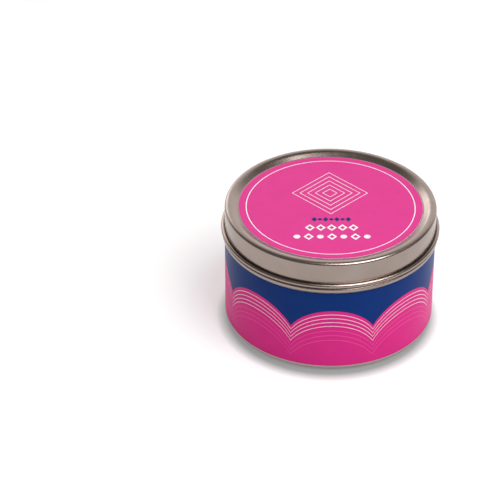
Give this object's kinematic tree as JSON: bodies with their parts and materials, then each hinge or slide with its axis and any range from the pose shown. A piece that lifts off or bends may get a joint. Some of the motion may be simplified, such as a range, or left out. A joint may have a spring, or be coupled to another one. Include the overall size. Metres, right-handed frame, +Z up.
{
  "type": "candle tin with slip lid",
  "caption": "Round tinplate candle tin with a wrap label, holding wax and a wick, under a slip lid with a recessed printed label.",
  "frame": {"origin": "centre of the tin's foot, on the surface that it stands on", "axes": "+Z up along the tin's axis; -Y is the front, where a peak of the wrap label's pattern faces; the wrap label's overlap is at the back, +Y"},
  "size_m": [0.0858, 0.0858, 0.0509],
  "materials": {
    "tinplate": "satin",
    "wrap_paper": "satin",
    "lid_paper": "satin",
    "base_paper": "matte",
    "adhesive_pad": "matte",
    "sustainer_metal": "satin",
    "cotton": "matte",
    "wax": "satin"
  },
  "bodies": {
    "tin": {"tin_body": "tinplate", "wrap_label": "wrap_paper", "base_label": "base_paper", "wick_sticker": "adhesive_pad", "wick_sustainer": "sustainer_metal", "wick": "cotton", "wax": "wax"},
    "lid": {"lid": "tinplate", "lid_label": "lid_paper"}
  },
  "joints": [
    {"name": "lid_lift", "type": "slide", "parent": "tin", "child": "lid", "axis": [0, 0, 1], "range_m": [0, 0.06]}
  ]
}
